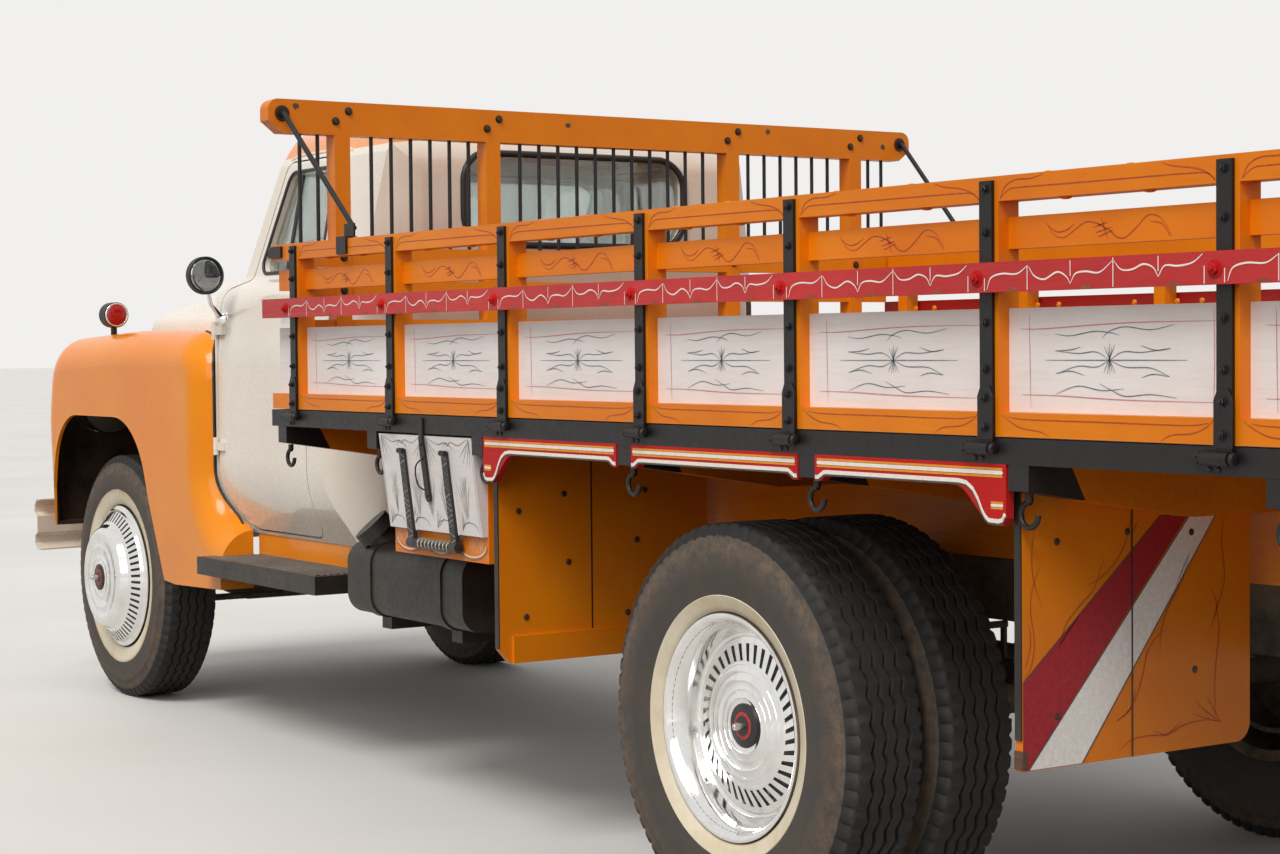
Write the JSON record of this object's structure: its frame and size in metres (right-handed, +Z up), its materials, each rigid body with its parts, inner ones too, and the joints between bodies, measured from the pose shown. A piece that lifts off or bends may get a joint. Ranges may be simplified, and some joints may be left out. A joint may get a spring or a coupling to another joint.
{
  "type": "decorated flatbed truck",
  "caption": "Vintage flatbed truck with a rounded cab, painted drop-side wooden bed, headboard, dual rear wheels, opening doors, hood, gates and tool box.",
  "frame": {"origin": "middle of the overall length and width, on the ground", "axes": "+X forward, +Y to the truck's left, +Z up"},
  "size_m": [7.513, 2.5, 2.152],
  "materials": {
    "orange_paint": "gloss",
    "orange_wood": "painted gloss",
    "cream_paint": "gloss",
    "white_boards": "painted satin",
    "crimson_boards": "painted satin",
    "black_iron": "satin",
    "frame_black": "satin",
    "chrome_trim": "polished",
    "tyre_rubber": "matt",
    "window_glass": "clear",
    "lamp_glass": "clear",
    "seat_vinyl": "matt",
    "cast_grey": "rough",
    "deck_wood": "worn",
    "wheel_plastic": "gloss"
  },
  "bodies": {
    "chassis": {"bed_floor": "deck_wood", "bed_rim": "black_iron", "bed_subframe": "orange_wood", "cab_glass": "window_glass", "cab_shell": "cream_paint", "drive_shaft": "frame_black", "engine_block": "cast_grey", "fender_left": "orange_paint", "fender_right": "orange_paint", "frame_rails": "frame_black", "front_axle_beam": "frame_black", "front_bumper": "cream_paint", "fuel_tank": "black_iron", "gate_hinges": "black_iron", "grille_bars": "chrome_trim", "headboard_frame": "orange_wood", "headboard_rods": "black_iron", "headlamps": "lamp_glass", "leaf_springs": "frame_black", "marker_lamps": "lamp_glass", "nose_panel": "cream_paint", "radiator": "frame_black", "rear_axle_housing": "cast_grey", "rope_hooks": "black_iron", "running_boards": "black_iron", "seat": "seat_vinyl", "sill_panels": "orange_paint", "steering_wheel": "wheel_plastic", "tail_lamps": "lamp_glass", "tool_box": "orange_wood", "valance_boards": "crimson_boards", "wheel_boards": "orange_wood"},
    "door_left_body": {"door_left": "cream_paint", "door_glass_left": "window_glass", "mirror_left": "black_iron"},
    "door_right_body": {"door_right": "cream_paint", "door_glass_right": "window_glass", "mirror_right": "black_iron"},
    "hood_body": {"hood": "cream_paint"},
    "gate_left_body": {"gate_left_frame": "orange_wood", "gate_left_boards": "white_boards", "gate_left_irons": "black_iron"},
    "gate_right_body": {"gate_right_frame": "orange_wood", "gate_right_boards": "white_boards", "gate_right_irons": "black_iron"},
    "tailgate_body": {"tailgate_frame": "orange_wood", "tailgate_boards": "white_boards", "tailgate_irons": "black_iron"},
    "tool_box_lid_body": {"tool_box_lid": "white_boards"},
    "knuckle_left_body": {"knuckle_left": "cast_grey"},
    "knuckle_right_body": {"knuckle_right": "cast_grey"},
    "tie_rod_body": {"tie_rod": "frame_black"},
    "wheel_front_left_body": {"wheel_front_left": "chrome_trim", "tyre_front_left": "tyre_rubber"},
    "wheel_front_right_body": {"wheel_front_right": "chrome_trim", "tyre_front_right": "tyre_rubber"},
    "wheels_rear_left_body": {"wheels_rear_left": "chrome_trim", "tyres_rear_left": "tyre_rubber"},
    "wheels_rear_right_body": {"wheels_rear_right": "chrome_trim", "tyres_rear_right": "tyre_rubber"}
  },
  "joints": [
    {"name": "steer_left", "type": "hinge", "parent": "chassis", "child": "knuckle_left_body", "pos_m": [2.9465, 0.645, 0.472], "axis": [0, 0, 1], "range_deg": [-30, 30]},
    {"name": "steer_right", "type": "hinge", "parent": "chassis", "child": "knuckle_right_body", "pos_m": [2.9465, -0.645, 0.472], "axis": [0, 0, 1], "range_deg": [-30, 30]},
    {"name": "tie_rod_pivot", "type": "hinge", "parent": "knuckle_left_body", "child": "tie_rod_body", "pos_m": [2.7765, 0.645, 0.3797], "axis": [0, 0, 1], "range_deg": [-30, 30]},
    {"name": "spin_front_left", "type": "hinge", "parent": "knuckle_left_body", "child": "wheel_front_left_body", "pos_m": [2.9465, 0.75, 0.472], "axis": [0, 1, 0], "continuous": true},
    {"name": "spin_front_right", "type": "hinge", "parent": "knuckle_right_body", "child": "wheel_front_right_body", "pos_m": [2.9465, -0.75, 0.472], "axis": [0, 1, 0], "continuous": true},
    {"name": "spin_rear_left", "type": "hinge", "parent": "chassis", "child": "wheels_rear_left_body", "pos_m": [-1.4835, 1.025, 0.472], "axis": [0, 1, 0], "continuous": true},
    {"name": "spin_rear_right", "type": "hinge", "parent": "chassis", "child": "wheels_rear_right_body", "pos_m": [-1.4835, -1.025, 0.472], "axis": [0, 1, 0], "continuous": true},
    {"name": "door_left_swing", "type": "hinge", "parent": "chassis", "child": "door_left_body", "pos_m": [1.9535, 0.878, 1.2], "axis": [0, 0, -1], "range_deg": [0, 65]},
    {"name": "door_right_swing", "type": "hinge", "parent": "chassis", "child": "door_right_body", "pos_m": [1.9535, -0.878, 1.2], "axis": [0, 0, 1], "range_deg": [0, 65]},
    {"name": "hood_lift", "type": "hinge", "parent": "chassis", "child": "hood_body", "pos_m": [2.2795, 0, 1.616], "axis": [0, -1, 0], "range_deg": [0, 50]},
    {"name": "gate_left_drop", "type": "hinge", "parent": "chassis", "child": "gate_left_body", "pos_m": [0, 1.218, 1.148], "axis": [1, 0, 0], "range_deg": [-168, 0]},
    {"name": "gate_right_drop", "type": "hinge", "parent": "chassis", "child": "gate_right_body", "pos_m": [0, -1.218, 1.148], "axis": [-1, 0, 0], "range_deg": [-168, 0]},
    {"name": "tailgate_drop", "type": "hinge", "parent": "chassis", "child": "tailgate_body", "pos_m": [-3.7395, 0, 1.148], "axis": [0, 1, 0], "range_deg": [-168, 0]},
    {"name": "tool_box_lid_drop", "type": "hinge", "parent": "chassis", "child": "tool_box_lid_body", "pos_m": [-0.1835, 1.17, 0.812], "axis": [-1, 0, 0], "range_deg": [0, 90]}
  ],
  "couplings": [
    {"joint": "steer_right", "follows": "steer_left", "ratio": 1},
    {"joint": "tie_rod_pivot", "follows": "steer_left", "ratio": -1}
  ]
}
